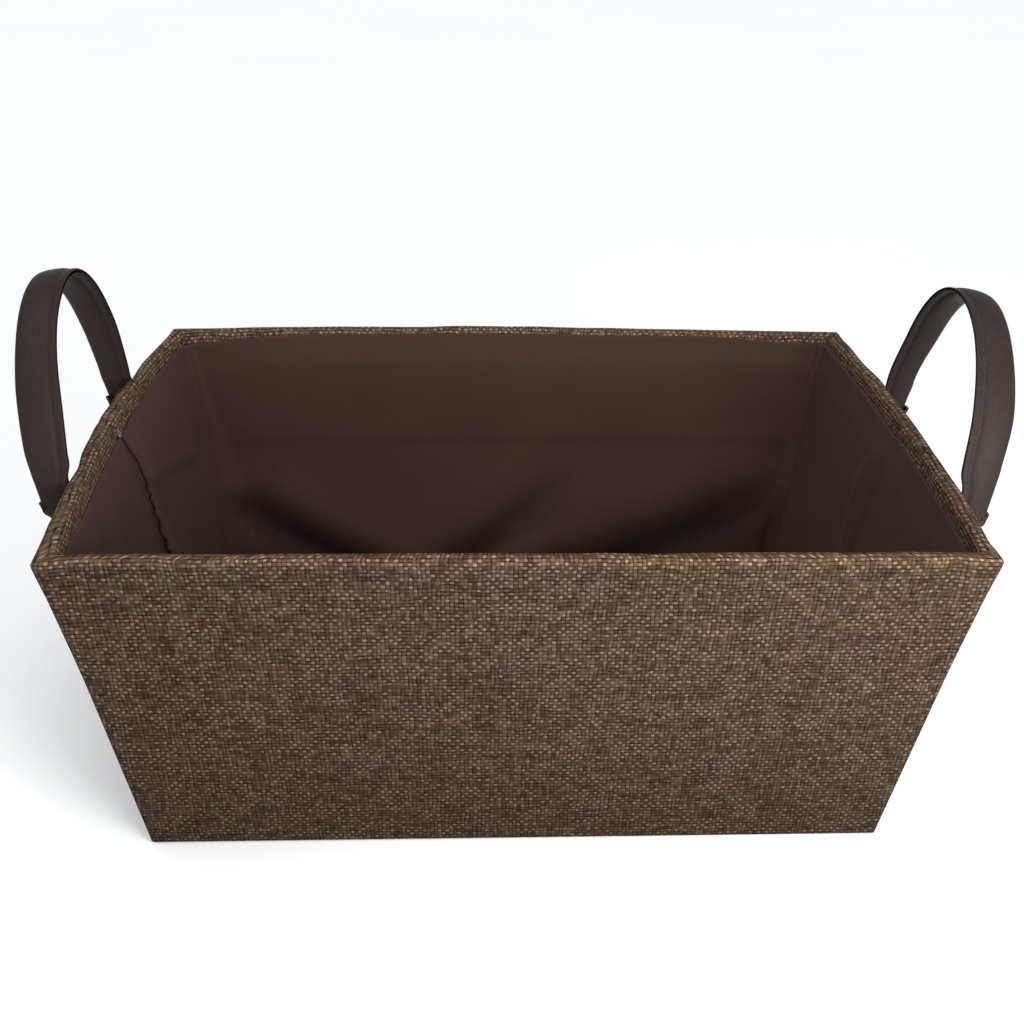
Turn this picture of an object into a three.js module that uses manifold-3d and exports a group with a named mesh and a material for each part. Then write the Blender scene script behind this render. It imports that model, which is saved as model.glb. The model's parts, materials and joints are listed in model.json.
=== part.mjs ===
// Tapered storage bin: greyboard walls in a sewn fabric cover, a loose lining, and two strap handles.
// Millimetres, +Z up. The origin is the centre of the base's underside, +X is along the bin and
// the front is towards -Y.
import * as THREE from "three";
import { mergeVertices } from "three/addons/utils/BufferGeometryUtils.js";
import Module from "manifold-3d";

const wasm = await Module();
wasm.setup();

// The bin's outside
const rimLength = 400;
const rimWidth = 270;
const height = 172;
const endTaper = 23; // how far each end leans in, from rim to base
const sideTaper = 22; // the same at the front and back
const endBelly = { left: 9.2, right: 5.6 }; // how far each end bows out at the rim
const backBelly = 7;

// Its materials, from the outside in
const fabric = 1.2;
const board = 3;
const lining = 0.5;
const clearance = 0.3; // between any two pieces that lie against each other
const turnIn = 12; // the cover's edge, turned down inside the rim
const lap = 4; // how much of the turned edge the lining covers

// The handles
const strapWidth = 17.5;
const strapThickness = 4;
const skin = 0.8; // the strap's leather
const flange = 3.3; // the flat stitched edge, on the bin's side
const flangeThickness = 2.2;
const archHalfSpan = 63;
const archFoot = 23; // the arch's centre, below the rim
const handleLean = THREE.MathUtils.degToRad(3.5);
const hingeRise = 6.5; // the line the strap bends on, above the rim
const wallGap = 0.4; // between the strap's edge and the wall
// Each handle's own place: shift is how far it sits off the wall's middle, going round
// anticlockwise, and top is the strap's middle line at its highest, above the rim.
const handles = { left: { shift: 0, top: 77 }, right: { shift: -12, top: 74.5 } };

// How each strap's end is held
const endThickness = 3.4; // the end is pressed thinner than the strap
const lipDrop = 12; // from the rim down to the mouth of the cover's lip
const lipSide = 5; // the lip's straight side, below its mouth
const slotDrop = 19; // down to the slot the end goes in by
const slotHeight = 8;
const endFoot = 4; // how far out the end still reaches at the slot's bottom
const tailLength = 32;
const tailThickness = 1.6;
const stapleWidth = 10;
const stapleWire = 0.8;
const stapleDrop = 40;
const stapleBite = 1.7; // how deep its legs go into the board

// Depths below the cover's outside, where each layer starts and ends
const boardOuter = fabric + clearance;
const boardInner = boardOuter + board;
const turnOuter = boardInner + clearance;
const turnInner = turnOuter + fabric;
const liningTopDepth = turnInner + clearance;
const tailOuter = boardInner + clearance;
const tailInner = tailOuter + tailThickness;
const crownOuter = tailInner + clearance;
const crownInner = crownOuter + stapleWire;
const liningDepth = Math.max(crownInner, liningTopDepth) + clearance;

const wallSteps = 14;
const riseSteps = 5;
const archSteps = 40;

const finish = {
  cover: new THREE.MeshStandardMaterial({ color: 0x6a5642, roughness: 0.95, metalness: 0 }),
  lining: new THREE.MeshStandardMaterial({ color: 0x3a2826, roughness: 0.75, metalness: 0 }),
  leather: new THREE.MeshStandardMaterial({ color: 0x2a2224, roughness: 0.42, metalness: 0 }),
  board: new THREE.MeshStandardMaterial({ color: 0x8d877c, roughness: 0.9, metalness: 0 }),
  filler: new THREE.MeshStandardMaterial({ color: 0x4a4a4a, roughness: 0.9, metalness: 0 }),
  steel: new THREE.MeshStandardMaterial({ color: 0xb4b4b4, roughness: 0.35, metalness: 1 }),
};

const bin = new THREE.Group();

function halfLengthAt(z) {
  return rimLength / 2 - endTaper * (1 - z / height);
}

function halfWidthAt(z) {
  return rimWidth / 2 - sideTaper * (1 - z / height);
}

// The four walls, going round anticlockwise. span is half the wall's length and reach is how far
// it stands from the middle. skew moves the belly's widest place along the wall.
const walls = {
  front: { turn: 0, span: halfLengthAt, reach: halfWidthAt, belly: 0, skew: 0 },
  right: { turn: 1, span: halfWidthAt, reach: halfLengthAt, belly: endBelly.right, skew: -0.2 },
  back: { turn: 2, span: halfLengthAt, reach: halfWidthAt, belly: backBelly, skew: 0.35 },
  left: { turn: 3, span: halfWidthAt, reach: halfLengthAt, belly: endBelly.left, skew: -0.25 },
};

function bellyAt(wall, share, z) {
  const bow = Math.max(0, 1 - share * share) * (1 + wall.skew * share);
  return wall.belly * bow * (z / height);
}

// A point on a wall: share runs from -1 to 1 between its corners, out is the distance outside the
// cover's face and z the height. Neighbouring walls meet on a mitre.
function wallPoint(wall, share, out, z) {
  const along = share * (wall.span(z) + out);
  const across = wall.reach(z) + out + bellyAt(wall, share, z);
  const up = new THREE.Vector3(0, 0, 1);
  return new THREE.Vector3(along, -across, z).applyAxisAngle(up, (wall.turn * Math.PI) / 2);
}

// The same, for a place given in millimetres along the wall.
function placeOnWall(wall, along, out, z) {
  return wallPoint(wall, along / (wall.span(z) + out), out, z);
}

// Moves every vertex of a geometry to where place puts it, and welds the result.
function reshaped(geometry, place) {
  const vertices = geometry.getAttribute("position");
  for (let i = 0; i < vertices.count; i++) {
    const moved = place(vertices.getX(i), vertices.getY(i), vertices.getZ(i));
    vertices.setXYZ(i, moved.x, moved.y, moved.z);
  }
  geometry.deleteAttribute("normal");
  geometry.deleteAttribute("uv");
  return mergeVertices(geometry, 1e-4);
}

// A box of unit size whose corners run from 0 to 1, bent into shape by place.
function bentBox(steps, place) {
  const box = new THREE.BoxGeometry(1, 1, 1, ...steps);
  box.translate(0.5, 0.5, 0.5);
  return reshaped(box, place);
}

// A block on a wall: along, z and out each run between two limits.
function wallBlock(wall, along, z, out) {
  const { lerp } = THREE.MathUtils;
  return bentBox([1, 1, 1], (u, v, w) =>
    placeOnWall(wall, lerp(...along, u), lerp(...out, w), lerp(...z, v)),
  );
}

function solidOf(geometry) {
  return new wasm.Manifold(
    new wasm.Mesh({
      numProp: 3,
      vertProperties: new Float32Array(geometry.attributes.position.array),
      triVerts: new Uint32Array(geometry.index.array),
    }),
  );
}

function geometryOf(solid) {
  const mesh = solid.getMesh();
  const geometry = new THREE.BufferGeometry();
  geometry.setAttribute("position", new THREE.BufferAttribute(mesh.vertProperties, 3));
  geometry.setIndex(new THREE.BufferAttribute(mesh.triVerts, 1));
  return geometry;
}

function cut(geometry, cutters) {
  let solid = solidOf(geometry);
  for (const cutter of cutters) solid = solid.subtract(solidOf(cutter));
  return geometryOf(solid);
}

function addPiece(name, geometry, material, group = bin) {
  const faceted = geometry.toNonIndexed();
  faceted.computeVertexNormals();
  const piece = new THREE.Mesh(faceted, material.clone());
  piece.name = name;
  group.add(piece);
}

// The stations of a strip that goes once round the walls, from the seam at the middle of the left
// end back to it.
function roundTheWalls() {
  const seam = clearance / 2 / halfWidthAt(0);
  const stations = [];
  const run = (wall, from, to, first) => {
    for (let i = first; i <= wallSteps; i++) {
      stations.push([wall, THREE.MathUtils.lerp(from, to, i / wallSteps)]);
    }
  };
  run(walls.left, seam, 1, 0);
  run(walls.front, -1, 1, 1);
  run(walls.right, -1, 1, 1);
  run(walls.back, -1, 1, 1);
  run(walls.left, -1, -seam, 1);
  return stations;
}

// A sewn strip round all four walls. Its section is a list of [depth, z] pairs, one on its outer
// face and one on its inner.
function wrap(section) {
  const stations = roundTheWalls();
  return bentBox([stations.length - 1, section.length - 1, 1], (u, v, w) => {
    const [wall, share] = stations[Math.round(u * (stations.length - 1))];
    const [depth, z] = section[Math.round(v * (section.length - 1))][w > 0.5 ? 0 : 1];
    return wallPoint(wall, share, -depth, z);
  });
}

// A flat panel inside the walls, between two heights, its edges a given depth below the cover.
function floorPanel(depth, low, thickness) {
  return bentBox([1, 1, 1], (u, v, w) => {
    const z = low + w * thickness;
    const x = (2 * u - 1) * (halfLengthAt(z) - depth);
    const y = (2 * v - 1) * (halfWidthAt(z) - depth);
    return new THREE.Vector3(x, y, z);
  });
}

const wallFoot = fabric + clearance; // the walls stand on the base cover
const floorTop = wallFoot + board;
const slotTop = height - slotDrop;
const slotLow = slotTop - slotHeight;
const lipMouth = height - lipDrop;

// One strip, up the outside, over the rim and down inside to its turned edge.
function coverWrap(slots) {
  const section = [];
  for (let i = 0; i < riseSteps; i++) {
    const z = THREE.MathUtils.lerp(wallFoot, height - fabric, i / riseSteps);
    section.push([[0, z], [fabric, z]]);
  }
  section.push([[0, height], [fabric, height - fabric]]);
  section.push([[turnInner, height], [turnOuter, height - fabric]]);
  section.push([[turnInner, height - turnIn], [turnOuter, height - turnIn]]);
  return cut(wrap(section), slots);
}

// The lining laps over the turned edge, then hangs clear of the boards and the strap tails.
function liningWrap() {
  const hang = (depth, z) => [[depth, z], [depth + lining, z]];
  const top = height - turnIn + lap;
  const section = [];
  for (let i = 0; i < riseSteps; i++) {
    const z = THREE.MathUtils.lerp(floorTop + clearance, slotTop, i / (riseSteps - 1));
    section.push(hang(liningDepth, z));
  }
  section.push(hang(liningTopDepth, height - turnIn), hang(liningTopDepth, top));
  return wrap(section);
}

// A wall's board. It stops short of a neighbour that it butts against.
function wallBoard(wall, endDepth) {
  const top = height - fabric - clearance;
  return bentBox([wallSteps, riseSteps, 1], (u, v, w) => {
    const z = THREE.MathUtils.lerp(wallFoot, top, v);
    const along = (2 * u - 1) * (wall.span(z) - endDepth);
    return placeOnWall(wall, along, w > 0.5 ? -boardOuter : -boardInner, z);
  });
}

// How far a handle's legs stand from its middle, at a height.
function archHalfSpanAt(z, top) {
  const rise = (z - (height - archFoot)) / (top + archFoot);
  return archHalfSpan * Math.sqrt(1 - rise * rise);
}

// A shape drawn in z and out, given a thickness along the wall and laid on it.
function wallPlate(wall, along, thickness, outline) {
  const shape = new THREE.Shape(outline.map(([z, out]) => new THREE.Vector2(z, out)));
  const plate = new THREE.ExtrudeGeometry(shape, { depth: thickness, bevelEnabled: false });
  return reshaped(plate, (z, out, w) => placeOnWall(wall, along - thickness / 2 + w, out, z));
}

// The strap end's outline below its mouth, grown on its outer side.
function endOutline(top, wallSide, grow) {
  const strapSide = wallGap + strapWidth + grow;
  return [
    [top, wallSide],
    [slotLow - grow, wallSide],
    [slotLow - grow, endFoot + grow],
    [lipMouth - lipSide, strapSide],
    [lipMouth, strapSide],
    ...(top > lipMouth ? [[top, strapSide]] : []),
  ];
}

// The strap's fixed end: a stub outside the wall, through the slot, and a flat tail on the board.
function strapEnd(wall, along) {
  const stubTop = height + hingeRise - strapWidth / 2 - clearance;
  const stub = wallPlate(wall, along, endThickness, endOutline(stubTop, wallGap, 0));
  const half = endThickness / 2;
  const slotFill = [slotLow, slotTop];
  const neck = wallBlock(wall, [along - half, along + half], slotFill, [-tailInner, endFoot]);
  const tailSides = [along - strapWidth / 2, along + strapWidth / 2];
  const tailRun = [slotTop - tailLength, slotTop];
  const tail = wallBlock(wall, tailSides, tailRun, [-tailInner, -tailOuter]);
  const joined = solidOf(stub).add(solidOf(neck)).add(solidOf(tail));
  return cut(geometryOf(joined), stapleHoles(wall, along));
}

// The slot through cover and board that a strap end goes in by.
function slotCutter(wall, along) {
  const half = endThickness / 2 + clearance;
  const z = [slotLow - clearance, slotTop + clearance];
  return wallBlock(wall, [along - half, along + half], z, [-boardInner - 1, 1]);
}

// The cover stands out round the strap end in a small pocket, open at its mouth.
function coverLip(wall, along) {
  const thickness = endThickness + 2 * (clearance + fabric);
  const outside = endOutline(lipMouth, clearance, clearance + fabric);
  const hollow = endOutline(lipMouth + 1, clearance - 1, clearance);
  const room = endThickness + 2 * clearance;
  return cut(wallPlate(wall, along, thickness, outside), [wallPlate(wall, along, room, hollow)]);
}

function stapleLegs(along) {
  const reach = (stapleWidth - stapleWire) / 2;
  return [along - reach, along + reach];
}

function stapleHoles(wall, along) {
  const half = stapleWire / 2 + clearance;
  const z = [height - stapleDrop - half, height - stapleDrop + half];
  const out = [-tailInner - 1, -boardInner + stapleBite + clearance];
  return stapleLegs(along).map((leg) => wallBlock(wall, [leg - half, leg + half], z, out));
}

// A wire staple: its crown lies on the tail and its legs go into the board.
function staple(wall, along) {
  const tip = -boardInner + stapleBite;
  const side = stapleWidth / 2;
  const inside = side - stapleWire;
  const outline = [
    [-crownInner, -side],
    [tip, -side],
    [tip, -inside],
    [-crownOuter, -inside],
    [-crownOuter, inside],
    [tip, inside],
    [tip, side],
    [-crownInner, side],
  ];
  const shape = new THREE.Shape(outline.map(([out, a]) => new THREE.Vector2(out, a)));
  const wire = new THREE.ExtrudeGeometry(shape, { depth: stapleWire, bevelEnabled: false });
  const low = height - stapleDrop - stapleWire / 2;
  return reshaped(wire, (out, a, w) => placeOnWall(wall, along + a, out, low + w));
}

// A strip bent along the arch, in the handle's own frame: its origin is on the hinge line, X
// points away from the bin and Z is up. The section is a list of [across, half thickness].
// Below the hinge line the strip narrows, so it turns inside a circle of the strap's width.
function archStrip(section, lowest, top) {
  const middle = -archFoot - hingeRise;
  const rise = top + archFoot;
  const start = Math.asin((lowest - middle) / rise);
  const last = section.length - 1;
  return bentBox([archSteps, last, 1], (u, v, w) => {
    const angle = THREE.MathUtils.lerp(start, Math.PI - start, u);
    const y = -archHalfSpan * Math.cos(angle);
    const z = middle + rise * Math.sin(angle);
    const inward = new THREE.Vector3(0, -y / archHalfSpan ** 2, -(z - middle) / rise ** 2);
    inward.normalize();
    const below = Math.min(0.95, Math.max(0, -z / (strapWidth / 2)));
    const [across, half] = section[Math.round(v * last)];
    const x = across * Math.sqrt(1 - below * below);
    return new THREE.Vector3(x, y, z).addScaledVector(inward, (2 * w - 1) * half);
  });
}

const bodyStart = -strapWidth / 2 + flange + 1; // where the strap swells from its flange
const bodyEnd = strapWidth / 2 - 1.5;
const endShare = 0.82; // the sleeve stops this share of its half width below the hinge line

// The leather: a flat stitched flange, then a hollow body that is open at both ends.
function sleeve(top) {
  const edge = strapWidth / 2;
  const outside = [
    [-edge, flangeThickness / 2],
    [-edge + flange, flangeThickness / 2],
    [bodyStart, strapThickness / 2],
    [bodyEnd, strapThickness / 2],
    [edge, strapThickness / 4],
  ];
  const room = strapThickness / 2 - skin;
  const hollow = [[bodyStart + skin, room], [bodyEnd, room]];
  const lowest = -endShare * edge;
  return cut(archStrip(outside, lowest, top), [archStrip(hollow, lowest - 1, top)]);
}

// The filler inside the leather.
function core(top) {
  const half = strapThickness / 2 - skin - clearance;
  const section = [[bodyStart + skin + clearance, half], [bodyEnd - clearance, half]];
  return archStrip(section, 0, top);
}

// How far the hinge line stands from the middle: the strap just clears the wall at both legs.
function hingeReach(wall, shift, top) {
  const span = archHalfSpanAt(height, top);
  const legs = [shift - span, shift + span];
  const bow = Math.max(...legs.map((leg) => bellyAt(wall, leg / wall.span(height), height)));
  return wall.reach(height) + bow + wallGap + strapWidth / 2;
}

const slots = { left: [], right: [] };

function addHandle(side) {
  const wall = walls[side];
  const { shift, top } = handles[side];
  const facing = side === "right" ? 1 : -1;
  const handle = new THREE.Group();
  const reach = hingeReach(wall, shift, top);
  handle.position.set(facing * reach, facing * shift, height + hingeRise);
  handle.rotation.set(0, facing * handleLean, facing > 0 ? 0 : Math.PI);
  bin.add(handle);
  addPiece(`handle_${side}_sleeve`, sleeve(top), finish.leather, handle);
  addPiece(`handle_${side}_core`, core(top), finish.filler, handle);
  for (const leg of [-1, 1]) {
    const along = shift + leg * archHalfSpanAt(height, top);
    const where = `${side}_${leg * facing > 0 ? "rear" : "front"}`;
    addPiece(`strap_end_${where}`, strapEnd(wall, along), finish.leather);
    addPiece(`cover_lip_${where}`, coverLip(wall, along), finish.cover);
    addPiece(`staple_${where}`, staple(wall, along), finish.steel);
    slots[side].push({ slot: slotCutter(wall, along), holes: stapleHoles(wall, along) });
  }
}

addHandle("left");
addHandle("right");

for (const side of ["front", "back"]) {
  addPiece(`board_${side}`, wallBoard(walls[side], boardOuter), finish.board);
}
for (const side of ["left", "right"]) {
  const cutters = slots[side].flatMap(({ slot, holes }) => [slot, ...holes]);
  const blank = wallBoard(walls[side], boardInner + clearance);
  addPiece(`board_${side}`, cut(blank, cutters), finish.board);
}
addPiece("board_floor", floorPanel(boardInner + clearance, wallFoot, board), finish.board);

const coverSlots = [...slots.left, ...slots.right].map(({ slot }) => slot);
addPiece("cover_wrap", coverWrap(coverSlots), finish.cover);
addPiece("cover_base", floorPanel(0, 0, fabric), finish.cover);

const liningFloorDepth = liningDepth + lining + clearance;
addPiece("lining_wrap", liningWrap(), finish.lining);
addPiece("lining_floor", floorPanel(liningFloorDepth, floorTop + clearance, lining), finish.lining);

export default bin;
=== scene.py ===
import json
from collections import namedtuple
from math import cos, exp, hypot, pi, radians, sin

import bmesh
import bpy
from mathutils import Matrix, Vector, noise


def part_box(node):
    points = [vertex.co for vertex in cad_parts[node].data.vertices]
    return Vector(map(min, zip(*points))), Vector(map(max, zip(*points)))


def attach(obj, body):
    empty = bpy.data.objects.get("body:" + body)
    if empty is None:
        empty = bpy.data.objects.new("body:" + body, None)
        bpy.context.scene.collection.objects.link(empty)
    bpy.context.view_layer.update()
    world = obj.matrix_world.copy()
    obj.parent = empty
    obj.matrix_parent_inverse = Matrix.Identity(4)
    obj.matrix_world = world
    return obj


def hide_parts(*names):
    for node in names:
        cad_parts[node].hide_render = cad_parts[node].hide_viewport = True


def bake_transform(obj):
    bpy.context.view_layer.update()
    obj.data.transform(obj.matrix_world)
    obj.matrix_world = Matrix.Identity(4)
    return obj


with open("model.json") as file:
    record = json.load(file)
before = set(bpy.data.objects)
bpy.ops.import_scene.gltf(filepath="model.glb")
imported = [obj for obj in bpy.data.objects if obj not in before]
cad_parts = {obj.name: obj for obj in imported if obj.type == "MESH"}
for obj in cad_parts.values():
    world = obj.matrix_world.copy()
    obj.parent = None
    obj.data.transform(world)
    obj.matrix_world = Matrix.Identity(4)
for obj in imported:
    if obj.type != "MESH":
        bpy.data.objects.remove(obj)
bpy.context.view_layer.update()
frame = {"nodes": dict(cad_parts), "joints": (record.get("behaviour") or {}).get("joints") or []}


# ---- Camera ----
# A close view down into the bin, from a little left of the middle of its front. The lens is
# shifted a little, which keeps both handles in view.
scene = bpy.context.scene
scene.view_settings.view_transform = "Standard"
lens = bpy.data.cameras.new("camera")
lens.lens = 43.73
lens.shift_x = -0.0165
lens.shift_y = -0.0205
camera = bpy.data.objects.new("camera", lens)
scene.collection.objects.link(camera)
scene.camera = camera
pan = Matrix.Rotation(radians(-2.78), 4, "Z")
tilt = Matrix.Rotation(radians(90 - 27.675), 4, "X")
roll = Matrix.Rotation(radians(1.24), 4, "Z")
eye = (-0.0205, -0.5747, 0.4348)
camera.matrix_world = Matrix.Translation(eye) @ pan @ tilt @ roll


# ---- Studio ----
# A pale floor under an even white sky, a soft overhead light and a nearer
# lamp on the right of the front.
mm = 0.001


def finished_object(name, shape, material):
    """A mesh object at the origin, smooth shaded, made from a bmesh that is then freed."""
    mesh = bpy.data.meshes.new(name)
    shape.to_mesh(mesh)
    shape.free()
    mesh.shade_smooth()
    mesh.materials.append(material)
    piece = bpy.data.objects.new(name, mesh)
    scene.collection.objects.link(piece)
    return piece


class Finish:
    """A material on the Principled shader, its pattern built from a few kinds of node."""

    def __init__(self, name, **fixed):
        self.material = bpy.data.materials.new(name)
        self.material.use_nodes = True
        self.tree = self.material.node_tree
        self.shader = self.tree.nodes["Principled BSDF"]
        for socket, value in fixed.items():
            self.shader.inputs[socket.replace("_", " ")].default_value = value

    def node(self, kind, inputs, output=0, **settings):
        made = self.tree.nodes.new("ShaderNode" + kind)
        for name, value in settings.items():
            setattr(made, name, value)
        for socket, value in inputs.items():
            if isinstance(value, bpy.types.NodeSocket):
                self.tree.links.new(value, made.inputs[socket])
            else:
                made.inputs[socket].default_value = value
        return made.outputs[output]

    def math(self, operation, *values):
        return self.node("Math", dict(enumerate(values)), operation=operation)

    def times(self, first, second):
        return self.math("MULTIPLY", first, second)

    def vector(self, x, y, z=0.0):
        return self.node("CombineXYZ", {0: x, 1: y, 2: z})

    def noise(self, at, scale, detail=2.0, roughness=0.5):
        inputs = {"Vector": at, "Scale": scale, "Detail": detail, "Roughness": roughness}
        return self.node("TexNoise", inputs)

    def spread(self, value, low, high, to_low=0.0, to_high=1.0):
        """value taken from between low and high to between two other limits, and held there."""
        limits = {0: value, 1: low, 2: high, 3: to_low, 4: to_high}
        return self.node("MapRange", limits, interpolation_type="SMOOTHSTEP")

    def mix(self, share, first, second, how="MIX"):
        parts = {0: share, 6: first, 7: second}
        return self.node("Mix", parts, output=2, data_type="RGBA", blend_type=how)

    def own_place(self):
        return self.node("TexCoord", {}, output="Object")

    def cloth_place(self):
        """The place on the piece's own map, in metres: across and up the cloth."""
        return self.node("UVMap", {}, uv_map="cloth")

    def across_up(self, place):
        apart = self.tree.nodes.new("ShaderNodeSeparateXYZ")
        self.tree.links.new(place, apart.inputs[0])
        return apart.outputs[0], apart.outputs[1]

    def bump(self, height, depth, strength=1.0, under=None):
        inputs = {"Height": height, "Distance": depth, "Strength": strength}
        if under is not None:
            inputs["Normal"] = under
        return self.node("Bump", inputs)

    def use(self, colour=None, roughness=None, normal=None):
        for socket, value in (("Base Color", colour), ("Roughness", roughness), ("Normal", normal)):
            if value is not None:
                self.tree.links.new(value, self.shader.inputs[socket])
        return self.material


def studio_paint():
    paint = Finish("studio_paint", Roughness=0.9)
    cloudy = paint.noise(paint.own_place(), 2.0)
    colour = paint.mix(cloudy, (0.86, 0.86, 0.86, 1), (0.89, 0.89, 0.89, 1))
    return paint.use(colour=colour)


ground = bmesh.new()
bmesh.ops.create_grid(ground, x_segments=1, y_segments=1, size=4.0)
finished_object("studio_floor", ground, studio_paint())

sky = bpy.data.worlds.new("sky")
sky.use_nodes = True
sky.node_tree.nodes["Background"].inputs["Color"].default_value = (0.95, 0.975, 1.0, 1)
sky.node_tree.nodes["Background"].inputs["Strength"].default_value = 0.66
scene.world = sky


def add_lamp(name, kind, place, target, energy):
    data = bpy.data.lights.new(name, kind)
    data.energy = energy
    lamp = bpy.data.objects.new(name, data)
    scene.collection.objects.link(lamp)
    facing = (Vector(target) - Vector(place)).to_track_quat("-Z", "Y")
    lamp.matrix_world = Matrix.LocRotScale(Vector(place), facing, None)
    return data


overhead = add_lamp("overhead", "SUN", (-0.15, -0.45, 1.6), (0, 0, 0), 1.6)
overhead.angle = radians(70)
side_lamp = add_lamp("side_lamp", "AREA", (0.29, -0.55, 0.27), (0.05, -0.1, 0.1), 4.9)
side_lamp.shape = "SQUARE"
side_lamp.size = 0.3


# ---- Boards ----
# Four wall boards and a floor board of 3 mm greyboard, cut from pulped paper with grey and brown
# fibres. They stand loose in the cover and hold its shape.
def greyboard():
    card = Finish("greyboard", Roughness=0.92)
    place = card.own_place()
    fibres = card.noise(place, 900.0, 6.0, 0.7)
    clouds = card.noise(place, 45.0, 3.0)
    colour = card.mix(fibres, (0.16, 0.145, 0.12, 1), (0.36, 0.34, 0.3, 1))
    colour = card.mix(clouds, colour, (0.27, 0.25, 0.215, 1))
    return card.use(colour=colour, normal=card.bump(fibres, 0.15 * mm))


def refinish(names, material):
    for name in names:
        node = frame["nodes"][name]
        node.data.materials.clear()
        node.data.materials.append(material)


board_names = ["board_front", "board_back", "board_left", "board_right", "board_floor"]
refinish(board_names, greyboard())


# ---- The walls' shape ----
# The bin tapers to its base, and its ends and back bow out a little towards the rim. The cover
# and the lining are strips that go round it, each at its own depth below the cover's face.
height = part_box("cover_wrap")[1].z
rim_half_length = 200 * mm
rim_half_width = -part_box("cover_wrap")[0].y
end_taper = 23 * mm
side_taper = 22 * mm


def half_length_at(z):
    return rim_half_length - end_taper * (1 - z / height)


def half_width_at(z):
    return rim_half_width - side_taper * (1 - z / height)


# turn is in quarter turns from the front. skew moves the belly's widest place along the wall.
Wall = namedtuple("Wall", "turn span reach belly skew")
walls = {
    "front": Wall(0, half_length_at, half_width_at, 0.0, 0.0),
    "right": Wall(1, half_width_at, half_length_at, 5.6 * mm, -0.2),
    "back": Wall(2, half_length_at, half_width_at, 7.0 * mm, 0.35),
    "left": Wall(3, half_width_at, half_length_at, 9.2 * mm, -0.25),
}


def belly_at(wall, share, z):
    bow = max(0.0, 1 - share * share) * (1 + wall.skew * share)
    return wall.belly * bow * (z / height)


def turned(wall, along, across, z):
    """A point given along a wall and across from the bin's middle, turned to that wall's side."""
    return Matrix.Rotation(wall.turn * pi / 2, 3, "Z") @ Vector((along, -across, z))


# A station of a strip: its wall, the share of the way along it from -1 to 1, and past the wall's
# end the share of the way round the corner.
Station = namedtuple("Station", "wall share corner")


def strip_point(station, depth, z, bend, share=None):
    """Where a strip passes a station. bend is its radius at the corners."""
    wall = walls[station.wall]
    share = station.share if share is None else share
    inset = depth + bend
    angle = station.corner * pi / 2
    along = share * (wall.span(z) - inset) + bend * sin(angle)
    across = wall.reach(z) - inset + bend * cos(angle) + belly_at(wall, share, z)
    return turned(wall, along, across, z)


seam_at = -0.02


def stations_round(step, corner_steps):
    """Stations from the seam on the left end, anticlockwise round the bin and back to it."""
    stations = []

    def run(name, first, last):
        count = round(walls[name].span(height) * (last - first) / step)
        for i in range(count + 1):
            stations.append(Station(name, first + (last - first) * i / count, 0.0))

    def turn_corner(name):
        for i in range(1, corner_steps):
            stations.append(Station(name, 1.0, i / corner_steps))

    run("left", seam_at, 1.0)
    turn_corner("left")
    for name in ("front", "right", "back"):
        run(name, -1.0, 1.0)
        turn_corner(name)
    run("left", -1.0, seam_at)
    return stations


# Where each wall's middle falls along the cloth, in metres.
wall_starts = {"left": 0.0, "front": 0.37, "right": 0.71, "back": 1.05}


def cloth_across(station, owner, z, bend):
    """How far round the cloth a station is, measured on the panel that owns the face."""
    wall = walls[owner]
    edge = wall.span(z) - bend
    if station.wall == owner:
        return wall_starts[owner] + station.share * edge + station.corner * bend * pi / 2
    return wall_starts[owner] + edge + bend * pi / 2


def formed_sheet(columns, rows, place, across_up):
    """A flat grid of columns by rows, each vertex moved to place(column, row). across_up gives a
    vertex's place on the cloth for the face that starts at a column."""
    shape = bmesh.new()
    last_column, last_row = len(columns) - 1, len(rows) - 1
    bmesh.ops.create_grid(shape, x_segments=last_column, y_segments=last_row, size=0.5)
    spot = {}
    for vertex in shape.verts:
        i = round((vertex.co.x + 0.5) * last_column)
        j = round((vertex.co.y + 0.5) * last_row)
        spot[vertex] = (i, j)
    cloth = shape.loops.layers.uv.new("cloth")
    for face in shape.faces:
        start = min(spot[vertex][0] for vertex in face.verts)
        for loop in face.loops:
            i, j = spot[loop.vert]
            loop[cloth].uv = across_up(columns[i], rows[j], columns[start])
    for vertex, (i, j) in spot.items():
        vertex.co = place(columns[i], rows[j])
    return shape


def give_thickness(piece, thickness, offset=-1):
    wall = piece.modifiers.new("thickness", "SOLIDIFY")
    wall.thickness = thickness
    wall.offset = offset


# ---- Cover ----
# A sewn sleeve of coarse heathered plain weave in brown and tan. It is drawn over the boards,
# folded over the rim, turned down inside, and closed at a seam in the middle of the left end.
fabric = 1.2 * mm
warp_pitch = 1.9 * mm
weft_pitch = 1.96 * mm


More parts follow.
